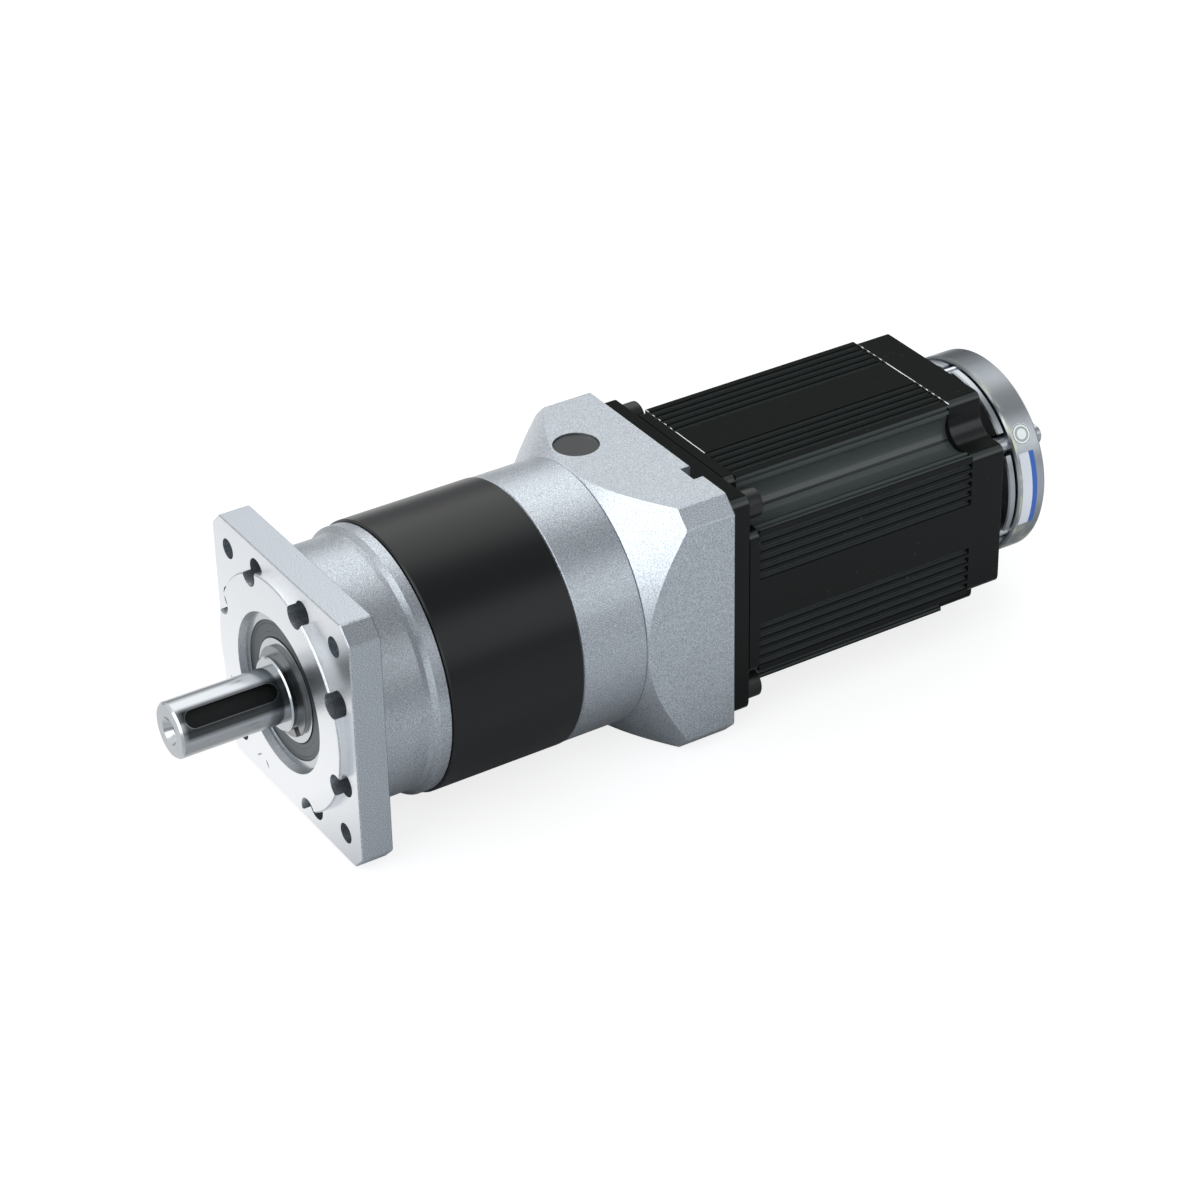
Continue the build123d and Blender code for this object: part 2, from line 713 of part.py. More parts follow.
def cable_gland():
    profile = make_face(Polyline((2.6, -7), (3.4, -7), (3.4, 0), (6, 0), (6, 3), (5, 3.6), (4.6, 8),
                                 (3.6, 9), (2.6, 9), close=True))
    return Pos(-motor_half_width, (bell_at + bell_end) / 2, 0) * Rot(0, 0, 90) * revolve(profile, Axis.Y)


def stator_core():
    slots = Sketch()
    for k in range(slot_count):
        slots += Rot(0, 0, 360 / slot_count * k) * Pos(stator_inner_radius + slot_depth / 2, 0) * Rectangle(
            slot_depth + 2, slot_width)
    outline = Circle(body_bore_radius) - Circle(stator_inner_radius) - slots
    return bar(outline, stack_at, stack_end)


def stator_windings():
    depth = slot_depth - 1
    bars = Sketch()
    for k in range(slot_count):
        bars += Rot(0, 0, 360 / slot_count * k) * Pos(stator_inner_radius + 1 + depth / 2, 0) * Rectangle(
            depth, slot_width - 2 * seat_room)
    inner, outer = stator_inner_radius + 1.2, stator_inner_radius + 0.8 + depth
    coils = bar(bars, stack_at - 1, stack_end + 1)
    front_turns = ring(outer, inner, stack_at - winding_overhang, stack_at - seat_room)
    rear_turns = ring(outer, inner, stack_end + seat_room, stack_end + winding_overhang)
    return coils + front_turns + rear_turns


def motor_shaft():
    tip = motor_shaft_at
    seat = motor_bearing[1]
    end = brake_disc_at + brake_hub_length
    return turned((0, tip), (motor_shaft_radius - edge_break, tip), (motor_shaft_radius, tip + edge_break),
                  (motor_shaft_radius, front_motor_bearing_at), (seat, front_motor_bearing_at),
                  (seat, front_motor_bearing_at + motor_bearing[2]),
                  (rotor_shaft_radius, front_motor_bearing_at + motor_bearing[2]),
                  (rotor_shaft_radius, rear_motor_bearing_at), (seat, rear_motor_bearing_at),
                  (seat, rear_motor_bearing_at + motor_bearing[2]),
                  (motor_shaft_radius, rear_motor_bearing_at + motor_bearing[2]),
                  (motor_shaft_radius, end), (0, end))


def rotor_magnets():
    outer = rotor_core_radius + magnet_thickness
    spacing = 360 / magnet_count
    gap = polar(outer + 1, magnet_gap_degrees / 2)
    wedge = make_face(Polyline((0, 0), gap, (gap[0], -gap[1]), close=True))
    band = Circle(outer) - Circle(rotor_core_radius)
    gaps = Sketch() + [Rot(0, 0, spacing * k) * wedge for k in range(magnet_count)]
    return bar(band - gaps, stack_at, stack_end).solids()


# Brake
def hexagon(flats):
    return RegularPolygon(flats / 2, 6, major_radius=False)


def brake_friction_plate():
    body = ring(brake_plate_radius, brake_bore_radius, bell_end, brake_plate_end)
    return body - drilled(around(brake_screw_circle, 3, brake_screw_start),
                          brake_screw_size / 2 + screw_room, bell_end, brake_plate_end)


def brake_hub():
    return bar(hexagon(brake_hub_flats) - Circle(motor_shaft_radius),
               brake_disc_at, brake_disc_at + brake_hub_length)


def friction_disc():
    return bar(Circle(brake_disc_radius) - hexagon(brake_hub_flats + 2 * slip), brake_disc_at,
               brake_disc_at + brake_disc_thickness)


def armature_plate():
    outline = Circle(armature_radius) - Circle(armature_bore_radius)
    for k in range(3):
        outline -= rim_slot(brake_screw_circle, brake_sleeve_radius, brake_screw_start + 120 * k)
        outline -= rim_slot(guide_pin_circle, guide_pin_radius, brake_screw_start + 60 + 120 * k)
    plate = bar(outline, armature_at, armature_at + armature_thickness)
    return chamfer(plate.edges().filter_by(GeomType.CIRCLE).filter_by(
        lambda edge: abs(edge.radius - armature_radius) < 0.01), armature_edge)


def rim_slot(circle, radius, angle):
    width = 2 * (radius + guide_room)
    opening = Pos(circle + width, 0) * Rectangle(2 * width, width)
    return Rot(0, 0, angle) * (Pos(circle, 0) * Circle(width / 2) + opening)


def brake_magnet_body():
    front, back = magnet_body_at, magnet_body_end
    corner = magnet_body_corner
    body = turned((brake_bore_radius, front), (magnet_body_radius - 0.6, front),
                  (magnet_body_radius, front + 0.6), (magnet_body_radius, back - corner),
                  (magnet_body_radius - corner, back), (brake_bore_radius, back))
    coil_space = ring(coil_outer_radius, coil_inner_radius, front, front + coil_depth + 0.6)
    screws = drilled(around(brake_screw_circle, 3, brake_screw_start),
                     brake_screw_size / 2 + screw_room, front, back)
    pockets = drilled(around(spring_circle, 6, 0), spring_radius + seat_room, front,
                      front + spring_pocket_depth)
    pins = drilled(around(guide_pin_circle, 3, brake_screw_start + 60), guide_pin_radius,
                   front, front + 6)
    return body - coil_space - screws - pockets - pins


def brake_coil():
    return ring(coil_outer_radius, coil_inner_radius, magnet_body_at + 0.6,
                magnet_body_at + 0.6 + coil_depth)


def brake_springs():
    start = armature_at + armature_thickness + armature_travel + slip
    end = magnet_body_at + spring_pocket_depth
    tube = Circle(spring_radius) - Circle(spring_radius - 0.7)
    return [bar(Pos(x, z) * tube, start, end) for x, z in around(spring_circle, 6, 0)]


def brake_sleeves():
    tube = Circle(brake_sleeve_radius) - Circle(brake_screw_size / 2 + screw_room)
    return [bar(Pos(x, z) * tube, brake_plate_end, magnet_body_at)
            for x, z in around(brake_screw_circle, 3, brake_screw_start)]


def brake_guide_pins():
    return [bar(Pos(x, z) * Circle(guide_pin_radius), brake_plate_end + 0.5, magnet_body_at + 6)
            for x, z in around(guide_pin_circle, 3, brake_screw_start + 60)]


nodes = {
    "output_housing": output_housing(),
    "ring_gear": ring_gear(),
    "input_housing": input_housing(),
    "motor_adapter": motor_adapter(),
    "access_plug": access_plug(),
    "output_housing_screws": screws_facing_front(
        ring_screw_size, front_screw_length, around(ring_screw_circle, ring_screw_count, ring_screw_start),
        front_sink_depth - pilot_height),
    "input_housing_screws": screws_facing_back(
        ring_screw_size, rear_screw_length, around(ring_screw_circle, ring_screw_count, ring_screw_start),
        adapter_at - rear_sink_depth),
    "adapter_screws": screws_facing_back(
        adapter_screw_size, adapter_screw_length, around(ring_screw_circle, 4, 45),
        adapter_at + adapter_screw_seat),
    "motor_mounting_screws": screws_facing_back(
        motor_screw_size, motor_screw_length, corners(motor_screw_spacing, motor_screw_spacing),
        motor_step_at),
    "motor_body_screws": screws_facing_front(
        body_screw_size, body_screw_length, corners(2 * body_screw_x, 2 * body_screw_z),
        motor_at + body_screw_sink) + screws_facing_back(
        body_screw_size, body_screw_length, corners(2 * body_screw_x, 2 * body_screw_z),
        bell_end - body_screw_sink),
    "bearing_shields": shields(output_bearing, output_bearing_at)
                       + shields(output_bearing, rear_output_bearing_at)
                       + shields(input_bearing, front_input_bearing_at)
                       + shields(motor_bearing, front_motor_bearing_at)
                       + shields(motor_bearing, rear_motor_bearing_at),
    "output_bearing_balls": balls(output_bearing, output_bearing_at)
                            + balls(output_bearing, rear_output_bearing_at),
    "input_bearing_balls": balls(input_bearing, front_input_bearing_at),
    "motor_bearing_balls": balls(motor_bearing, front_motor_bearing_at)
                           + balls(motor_bearing, rear_motor_bearing_at),
    "bearing_spacer": ring(carrier_hub_radius, output_bearing[1], output_bearing_at + output_bearing[2],
                           rear_output_bearing_at),
    "output_bearing_circlip": open_clip(output_bearing[0] + circlip_depth, output_bearing[0] - 3.1,
                                        output_bearings_end, 90, 9),
    "shaft_circlip": open_clip(output_bearing[1] + 2.7, output_bearing[1] - circlip_depth,
                               output_bearing_at - circlip_width, shaft_clip_angle, 4),
    "hub_circlip": open_clip(input_bearing[1] + 2, input_bearing[1] - circlip_depth,
                             front_input_bearing_at - circlip_width, 90, 4),
    "input_shaft_seal": ring(input_bearing[0], seal_land_radius + slip, seal_at, seal_at + seal_width),
    "wave_washer": ring(motor_bearing[0] - seat_room, motor_bearing[0] - 4.5,
                        rear_motor_bearing_at + motor_bearing[2],
                        rear_motor_bearing_at + motor_bearing[2] + wave_washer_height),
    "output_bearing_front_outer_race": outer_race(output_bearing, output_bearing_at),
    "output_bearing_rear_outer_race": outer_race(output_bearing, rear_output_bearing_at),
    "output_bearing_front_inner_race": inner_race(output_bearing, output_bearing_at),
    "output_bearing_rear_inner_race": inner_race(output_bearing, rear_output_bearing_at),
    "output_shaft": output_shaft(),
    "planet_pins": planet_pins(),
    "sun_gear": sun_gear(),
    "clamp_hub": clamp_hub(),
    "clamp_screw": clamp_screw(),
    "input_bearing_outer_race": outer_race(input_bearing, front_input_bearing_at),
    "input_bearing_inner_race": inner_race(input_bearing, front_input_bearing_at),
    "motor_front_flange": motor_front_flange(),
    "motor_housing": motor_housing(),
    "rear_bell": rear_bell(),
    "cable_gland": cable_gland(),
    "stator_core": stator_core(),
    "stator_windings": stator_windings(),
    "motor_shaft": motor_shaft(),
    "rotor_core": ring(rotor_core_radius, rotor_shaft_radius, stack_at, stack_end),
    "rotor_magnets": rotor_magnets(),
    "motor_bearing_front_outer_race": outer_race(motor_bearing, front_motor_bearing_at),
    "motor_bearing_front_inner_race": inner_race(motor_bearing, front_motor_bearing_at),
    "motor_bearing_rear_outer_race": outer_race(motor_bearing, rear_motor_bearing_at),
    "motor_bearing_rear_inner_race": inner_race(motor_bearing, rear_motor_bearing_at),
    "brake_friction_plate": brake_friction_plate(),
    "brake_hub": brake_hub(),
    "friction_disc": friction_disc(),
    "armature_plate": armature_plate(),
    "brake_magnet_body": brake_magnet_body(),
    "brake_coil": brake_coil(),
    "brake_springs": brake_springs(),
    "brake_sleeves": brake_sleeves(),
    "brake_guide_pins": brake_guide_pins(),
    "brake_screws": screws_facing_back(
        brake_screw_size, brake_screw_length, around(brake_screw_circle, 3, brake_screw_start),
        magnet_body_end, brake_screw_head),
}
for number, angle in enumerate(planet_angles, start=1):
    nodes[f"planet_gear_{number}"] = planet_gear(angle)
    nodes[f"planet_bush_{number}"] = planet_bush(angle)

for name, shape in nodes.items():
    if isinstance(shape, (list, ShapeList)):
        shape = Compound(children=[s.solid() if hasattr(s, "solid") else s for s in shape])
    export_step(shape, f"parts/{name}.step")
    print(name, len(shape.solids()), "solids", round(shape.volume))
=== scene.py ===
from math import cos, pi, radians, sin

import bmesh
import bpy
from mathutils import Matrix, Vector


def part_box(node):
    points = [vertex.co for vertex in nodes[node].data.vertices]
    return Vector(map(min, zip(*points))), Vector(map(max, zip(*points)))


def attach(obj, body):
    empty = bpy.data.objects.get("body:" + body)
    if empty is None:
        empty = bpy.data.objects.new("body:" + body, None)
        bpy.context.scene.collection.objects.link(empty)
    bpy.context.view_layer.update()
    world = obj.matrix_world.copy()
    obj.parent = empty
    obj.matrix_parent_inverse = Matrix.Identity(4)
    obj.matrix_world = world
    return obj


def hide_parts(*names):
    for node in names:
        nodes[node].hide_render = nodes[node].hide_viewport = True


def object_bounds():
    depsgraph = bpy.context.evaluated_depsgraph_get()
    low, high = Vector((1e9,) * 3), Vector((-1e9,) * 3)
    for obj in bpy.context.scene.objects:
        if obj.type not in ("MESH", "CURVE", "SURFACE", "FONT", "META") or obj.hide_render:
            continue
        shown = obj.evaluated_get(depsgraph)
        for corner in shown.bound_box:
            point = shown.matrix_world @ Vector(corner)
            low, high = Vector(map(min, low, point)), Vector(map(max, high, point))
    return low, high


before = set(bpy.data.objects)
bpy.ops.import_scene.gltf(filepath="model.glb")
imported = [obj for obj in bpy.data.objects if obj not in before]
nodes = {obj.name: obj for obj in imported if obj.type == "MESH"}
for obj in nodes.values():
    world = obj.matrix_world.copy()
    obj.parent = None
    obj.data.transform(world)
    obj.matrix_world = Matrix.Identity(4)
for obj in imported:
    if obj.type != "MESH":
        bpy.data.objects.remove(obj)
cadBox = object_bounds()
mm = 0.001
print("frame loaded:", len(nodes), "nodes")


def corners(node):                    # lowest and highest corner, in metres
    low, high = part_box(node)
    return Vector(low), Vector(high)


# Stations along the shaft, read off the frame
bodyFront, bodyBack = (corner.y for corner in corners("motor_housing"))
brakeFront, brakeBack = (corner.y for corner in corners("brake_magnet_body"))
brakeRadius = corners("brake_magnet_body")[1].x
shaftTip = corners("output_shaft")[0].y


def grey(level, tint=(1, 1, 1)):
    return (level * tint[0], level * tint[1], level * tint[2], 1)


class Wire:                           # a shader socket that takes part in sums
    def __init__(self, paint, socket):
        self.paint = paint
        self.socket = socket

    def __add__(self, other):
        return self.paint.sum("ADD", self, other)

    def __sub__(self, other):
        return self.paint.sum("SUBTRACT", self, other)

    def __rsub__(self, other):
        return self.paint.sum("SUBTRACT", other, self)

    def __mul__(self, other):
        return self.paint.sum("MULTIPLY", self, other)

    def __truediv__(self, other):
        return self.paint.sum("DIVIDE", self, other)

    def __gt__(self, other):
        return self.paint.sum("GREATER_THAN", self, other)

    def __lt__(self, other):
        return self.paint.sum("LESS_THAN", self, other)

    def __pow__(self, other):
        return self.paint.sum("POWER", self, other)

    def __abs__(self):
        return self.paint.sum("ABSOLUTE", self)

    __radd__ = __add__
    __rmul__ = __mul__


class Paint:                          # the nodes of one material, or of the world
    def __init__(self, owner):
        owner.use_nodes = True
        self.owner = owner
        self.tree = owner.node_tree
        self.tree.nodes.clear()

    def node(self, kind, settings=None, inputs=None, output=0):
        made = self.tree.nodes.new("ShaderNode" + kind)
        for key, value in (settings or {}).items():
            setattr(made, key, value)
        for key, value in (inputs or {}).items():
            if isinstance(value, Wire):
                self.tree.links.new(value.socket, made.inputs[key])
            else:
                made.inputs[key].default_value = value
        return Wire(self, made.outputs[output]) if made.outputs else None

    def sum(self, operation, *values):
        return self.node("Math", {"operation": operation}, dict(enumerate(values)))

    def clamp(self, value):
        return self.node("Clamp", None, {0: value})

    def rise(self, value, start, slope):     # 0 up to start, then up to 1
        return self.clamp((value - start) * slope)

    def fall(self, value, end, slope):       # down to 0 at end
        return self.clamp((end - value) * slope)

    def within(self, value, limits):         # 1 between two limits in millimetres
        return (value > limits[0] * mm) * (value < limits[1] * mm)

    def vary(self, level, noise, spread):    # the level, with noise of that spread about it
        return level + (noise - 0.5) * spread

    def mix(self, factor, first, second):
        return self.node("Mix", {"data_type": "RGBA"}, {0: factor, 6: first, 7: second}, 2)

    def shades(self, factor, levels, tint=(1, 1, 1)):
        return self.mix(factor, grey(levels[0], tint), grey(levels[1], tint))

    def blend(self, factor, first, second):  # of two shaders
        return self.node("MixShader", None, {0: factor, 1: first, 2: second})

    def ray(self, kind):
        return self.node("LightPath", None, None, kind)

    def place(self, x=1.0, y=1.0, z=1.0):    # object coordinates, stretched
        where = self.node("TexCoord", None, None, "Object")
        return self.node("Mapping", None, {"Vector": where, "Scale": (x, y, z)})

    def split(self, vector):
        return [self.node("SeparateXYZ", None, {0: vector}, k) for k in range(3)]

    def spot(self):                          # x, y and z in the object
        return self.split(self.place())

    def facing(self):                        # the normal in the object's own directions
        return self.split(self.node("TexCoord", None, None, "Normal"))

    def radius(self, x, z):                  # distance from the shaft's axis
        return (x * x + z * z) ** 0.5

    def noise(self, scale, detail=2.0, rough=0.5, vector=None):
        return self.node("TexNoise", None, {"Vector": vector or self.place(), "Scale": scale,
                                            "Detail": detail, "Roughness": rough})

    def lines(self, where, detail=2.0):      # turning lines, or sheets, across one direction
        return self.node("TexNoise", {"noise_dimensions": "1D"},
                         {"W": where, "Scale": 1.0, "Detail": detail})

    def bump(self, height, distance, strength):
        return self.node("Bump", None, {"Strength": strength, "Distance": distance, "Height": height})

    def surface(self, colour, rough, metal, normal, **fixed):
        values = {"Base Color": colour, "Roughness": rough, "Metallic": metal, "Normal": normal}
        values.update({key.replace("_", " "): value for key, value in fixed.items()})
        shader = self.node("BsdfPrincipled", None, values)
        self.node("OutputMaterial", None, {"Surface": shader})
        return self.owner


def newPaint(name):
    return Paint(bpy.data.materials.new(name))


# Finishes. Places are in millimetres, depths in metres, limits of a normal from -1 to 1
blasted = {"tint": (0.9, 0.965, 1.03), "dark": 0.4, "pale": 1.6, "contrast": 4.0,
           "grain": 3000, "grainDepth": 0.000024, "patches": 60, "patchContrast": 0.08,
           "rough": 0.41, "roughSpread": 0.12, "topFrom": 0.9, "slantFrom": 0.12, "slantTo": 0.86}
cutFace = {"level": 0.92, "tint": (0.965, 0.985, 1.01), "from": -0.8, "edgeFrom": -0.96,
           "smoother": 0.12, "rings": 3000, "ringHeight": 0.35}
pilot = {"front": -0.02, "wall": (39.9, 40.1), "edge": (39.3, 39.91), "edgeBright": 0.1,
         "bore": 28.5, "boreTo": 3, "boreShade": 0.5}


def blastedAluminium(name, level, paintedTopLevel=1.0, paintedSlantShade=0.0, hasPilot=False):
    p = newPaint(name)
    grain = p.noise(blasted["grain"], 2, 0.6)
    patches = p.noise(blasted["patches"], 3, 0.5)
    ny, nz = p.facing()[1:]
    x, y, z = p.spot()
    r = p.radius(x, z)
    machined = p.fall(ny, cutFace["from"], 8)   # faces cut square to the shaft are bright
    if hasPilot:                                # so is the pilot's wall, and its edge less so
        proud = y < pilot["front"] * mm
        edge = p.within(r, pilot["edge"]) * p.rise(ny, cutFace["edgeFrom"], 30) * proud
        machined = p.clamp(machined + p.within(r, pilot["wall"]) * proud + edge * pilot["edgeBright"])
    tone = p.vary(1, grain, blasted["contrast"]) + (patches - 0.5) * blasted["patchContrast"]
    # Painted shade: faces that point up are darker
    tone = tone * (1 - p.rise(nz, blasted["topFrom"], 12) * (1 - paintedTopLevel))
    # Painted shade: slanted faces are darker
    slanted = p.rise(nz, blasted["slantFrom"], 6) * p.fall(nz, blasted["slantTo"], 6)
    tone = tone * (1 - slanted * paintedSlantShade)
    if hasPilot:                                # the bearing's bore lies in shade
        inBore = (r < pilot["bore"] * mm) * (y < pilot["boreTo"] * mm)
        tone = tone * (1 - inBore * pilot["boreShade"])
    dull = p.shades(p.clamp(tone * 0.5), (level * blasted["dark"], level * blasted["pale"]), blasted["tint"])
    colour = p.mix(machined, dull, grey(cutFace["level"], cutFace["tint"]))
    rings = p.lines(r * cutFace["rings"])
    rough = p.vary(blasted["rough"], grain, blasted["roughSpread"]) - machined * cutFace["smoother"]
    height = grain * (1 - machined) + rings * machined * cutFace["ringHeight"]
    return p.surface(colour, rough, 1.0, p.bump(height, blasted["grainDepth"], 0.6))


anodised = {"tint": (0.9, 1.05, 1.05), "levels": (0.0035, 0.0065), "rough": 0.3, "specular": 0.37,
            "grain": 1800, "drawn": 220, "drawnAlong": (0.08, 14, 0.08), "depth": 0.00001}


def blackAnodised():
    p = newPaint("blackAnodised")
    grain = p.noise(anodised["grain"], 2, 0.5)
    drawn = p.noise(anodised["drawn"], 2, 0.5, p.place(*anodised["drawnAlong"]))
    colour = p.shades(grain * 0.6 + drawn * 0.4, anodised["levels"], anodised["tint"])
    return p.surface(colour, p.vary(anodised["rough"], grain, 0.08), 0.0,
                     p.bump(drawn, anodised["depth"], 0.3), Specular_IOR_Level=anodised["specular"])


motorPaint = {"tint": (0.86, 1.05, 1.0), "levels": (0.0045, 0.008), "grain": 1500, "grainDepth": 0.000025,
              "paleTint": (0.88, 1.04, 1.0), "grooves": 0.07, "coves": 0.029, "ridges": 0.06,
              "specks": 380, "speckFrom": 0.74, "speckLevel": 0.05, "dust": 9000,
              "rough": 0.5, "specular": 0.04, "coat": 0.34, "ridgeCoat": 1.2, "coatRough": 0.25}
motorShape = {"sunkBelow": 40.7, "ribsBeyond": 38.2, "covesBeyond": 27, "covePaleFrom": 4}
sawCut = {"level": 0.75, "above": 40.6, "rear": 0.35, "ragged": 0.8, "raggedScale": 420,
          "front": 0.3, "frontUpTo": 9, "past": 0.02}


def motorBlack():
    p = newPaint("motorBlack")
    grain = p.noise(motorPaint["grain"], 3, 0.6)
    dust = p.noise(motorPaint["dust"], 2, 0.5)
    specks = p.rise(p.noise(motorPaint["specks"], 1, 0.5), motorPaint["speckFrom"], 18)
    ragged = p.noise(sawCut["raggedScale"], 3, 0.7)
    x, y, z = p.spot()
    nx, ny, nz = p.facing()

    # Bare metal shows along the sawn ends of the body, on top
    rearCut = y > bodyBack - sawCut["rear"] * mm - (ragged - 0.5) * (sawCut["ragged"] * mm)
    rearCut = rearCut * (y < bodyBack + sawCut["past"] * mm)
    frontCut = (y < bodyFront + sawCut["front"] * mm) * (y > bodyFront - sawCut["past"] * mm)
    frontCut = frontCut * (x < sawCut["frontUpTo"] * mm)
    cut = p.clamp((rearCut + frontCut) * (z > sawCut["above"] * mm))

    # Painted light: grooves, coves and ridges of the body are paler, standing in for the light on them
    onBody = (y > bodyFront) * (y < bodyBack)
    outermost = p.sum("MAXIMUM", abs(x), abs(z))
    sunk = p.fall(outermost, motorShape["sunkBelow"] * mm, 1600) * onBody
    cove = (p.sum("MINIMUM", abs(x), abs(z)) > motorShape["covesBeyond"] * mm) * onBody
    along = p.clamp((y - bodyFront - motorShape["covePaleFrom"] * mm) * 22)   # more so towards the rear
    ridges = p.fall(p.sum("MAXIMUM", abs(nx), abs(nz)), 0.96, 8) * (1 - abs(ny))
    paintedRidgeHighlight = ridges * (outermost > motorShape["ribsBeyond"] * mm)
    black = p.shades(grain, motorPaint["levels"], motorPaint["tint"])
    # painted light in the grooves and coves
    black = p.mix(sunk * (1 - cove), black, grey(motorPaint["grooves"], motorPaint["paleTint"]))
    black = p.mix(sunk * cove * along, black, grey(motorPaint["coves"], motorPaint["paleTint"]))
    # painted highlight along the outer ridges
    black = p.mix(paintedRidgeHighlight * 0.5, black, grey(motorPaint["ridges"], motorPaint["paleTint"]))
    dusty = p.mix(specks * 0.35, black, grey(motorPaint["speckLevel"]))
    colour = p.mix(cut, dusty, grey(sawCut["level"]))
    rough = p.vary(motorPaint["rough"], grain, 0.14) - cut * 0.2
    sheen = p.clamp(1 - p.rise(nz, 0.75, 8) + ridges * 1.4)   # the top is dull, the ridges shine
    coat = p.clamp(sheen * motorPaint["coat"] + ridges * motorPaint["ridgeCoat"])
    return p.surface(colour, rough, cut * 0.9, p.bump(grain + dust * 0.4, motorPaint["grainDepth"], 0.5),
                     Specular_IOR_Level=motorPaint["specular"], Coat_Weight=coat,
                     Coat_Roughness=motorPaint["coatRough"])


steel = {"dark": 0.92, "darkTint": (0.93, 0.98, 1.02), "pale": 1.05, "paleTint": (0.94, 0.985, 1.02),
         "turned": 9000, "turnedDepth": 0.000004, "smears": 140}
keyway = {"from": 2.6, "to": 34.8, "angle": 43.0, "halfWidth": 3.1, "wallTop": 9.32, "level": 0.036,
          "tint": (0.93, 1, 0.98), "edgeHighlightLevel": 0.6, "edgeMix": 0.3}
shaftShade = {"angle": 35.0, "before": 2.5, "from": 0.8, "mix": 0.91, "underMix": 0.5, "level": 0.03,
              "tint": (0.93, 1, 1)}


def groundSteel(name="groundSteel", level=0.72, rough=0.2, hasKeyway=False):
    p = newPaint(name)
    x, y, z = p.spot()
    turned = p.lines(y * steel["turned"], 3.0)
    smears = p.noise(steel["smears"], 3, 0.6, p.place(1, 0.25, 1))
    colour = p.mix(smears, grey(level * steel["dark"], steel["darkTint"]),
                   grey(level * steel["pale"], steel["paleTint"]))
    polish = p.vary(rough, smears, 0.1) + (turned - 0.5) * 0.05
    if hasKeyway:
        r = p.radius(x, z)
        keyFront, keyBack = shaftTip + keyway["from"] * mm, shaftTip + keyway["to"] * mm
        keyTurn, shadeTurn = radians(keyway["angle"]), radians(shaftShade["angle"])
        onWall = p.clamp(1 - abs(p.facing()[1]) * 2)

        # Painted shade darkens the shaft on both sides of its keyway, and below
        beside = (x * cos(shadeTurn) + z * sin(shadeTurn)) / r
        shade = p.rise(beside, shaftShade["from"], 10)
        shade = shade * p.clamp((y - keyFront + shaftShade["before"] * mm) * 400) * onWall
        under = p.fall(p.facing()[2], 0, 2.5) * onWall
        shaded = p.clamp(shade * shaftShade["mix"] + under * shaftShade["underMix"])
        colour = p.mix(shaded, colour, grey(shaftShade["level"], shaftShade["tint"]))

        # Painted highlight: a thin pale line along the keyway's broken edge; painted shade: its floor is dark
        halfWidth = keyway["halfWidth"] * mm
        across = z * cos(keyTurn) - x * sin(keyTurn)
        pastEnds = p.sum("MAXIMUM", keyFront + halfWidth - y, y - keyBack + halfWidth)
        past = p.sum("MAXIMUM", pastEnds, 0.0)
        paintedEdgeLine = p.clamp(1.4 - abs((across * across + past * past) ** 0.5 - halfWidth) * 7000)
        paintedEdgeLine = paintedEdgeLine * (beside > 0.5)
        colour = p.mix(paintedEdgeLine * keyway["edgeMix"], colour, grey(keyway["edgeHighlightLevel"], shaftShade["tint"]))
        deep = p.fall(r, keyway["wallTop"] * mm, 12000) * (y > keyFront) * (y < keyBack)
        colour = p.mix(deep, colour, grey(keyway["level"], keyway["tint"]))
        polish = polish + deep * 0.3
    return p.surface(colour, polish, 1.0, p.bump(turned, steel["turnedDepth"], 0.35))


sheet = {"tint": (0.96, 0.985, 1), "dark": 0.85, "pale": 1.15, "clouds": 260, "rings": 5000,
         "depth": 0.000008}


def sheetSteel(name, level, rough):
    p = newPaint(name)
    cloudy = p.noise(sheet["clouds"], 3, 0.6)
    x, y, z = p.spot()
    rings = p.lines(p.radius(x, z) * sheet["rings"])
    colour = p.shades(cloudy, (level * sheet["dark"], level * sheet["pale"]), sheet["tint"])
    return p.surface(colour, p.vary(rough, cloudy, 0.12), 1.0,
                     p.bump(rings + cloudy * 0.3, sheet["depth"], 0.4))


shield = {"tint": (0.86, 0.98, 1.04), "levels": (0.1, 0.15), "clouds": 260, "rough": 0.36,
          "gapLevel": 0.006, "inner": 18.2, "outer": 23.05, "step": (19.4, 22.4), "stepDepth": 0.0003}


def bearingShield():                  # the output bearing's shield has a dark gap at both of its edges
    p = newPaint("bearingShield")
    x, y, z = p.spot()
    r = p.radius(x, z)
    cloudy = p.noise(shield["clouds"], 3, 0.6)
    gap = p.clamp(p.rise(r, shield["outer"] * mm, 9000) + p.fall(r, shield["inner"] * mm, 9000))
    step = p.rise(r, shield["step"][0] * mm, 6000) * p.fall(r, shield["step"][1] * mm, 6000)
    colour = p.shades(cloudy, shield["levels"], shield["tint"])
    colour = p.mix(gap, colour, grey(shield["gapLevel"]))
    return p.surface(colour, p.vary(shield["rough"], cloudy, 0.1), 1 - gap,
                     p.bump(step, shield["stepDepth"], 0.6))


plating = {"dark": 0.5, "darkTint": (0.9, 0.97, 1.03), "pale": 0.62, "paleTint": (0.93, 0.98, 1.02),
           "clouds": 45, "fine": 700, "fineDepth": 0.00001, "rough": 0.3}
stains = {"colour": (0.68, 0.7, 0.5, 1), "scale": 90, "from": 0.44, "mix": 0.85, "frontEdge": 1.9,
          "rearEdge": 1.1, "below": 9}
paintedTopShade = {"level": 0.11, "tint": (0.85, 0.98, 1.1), "above": 23, "upTo": 21, "mix": 0.85}


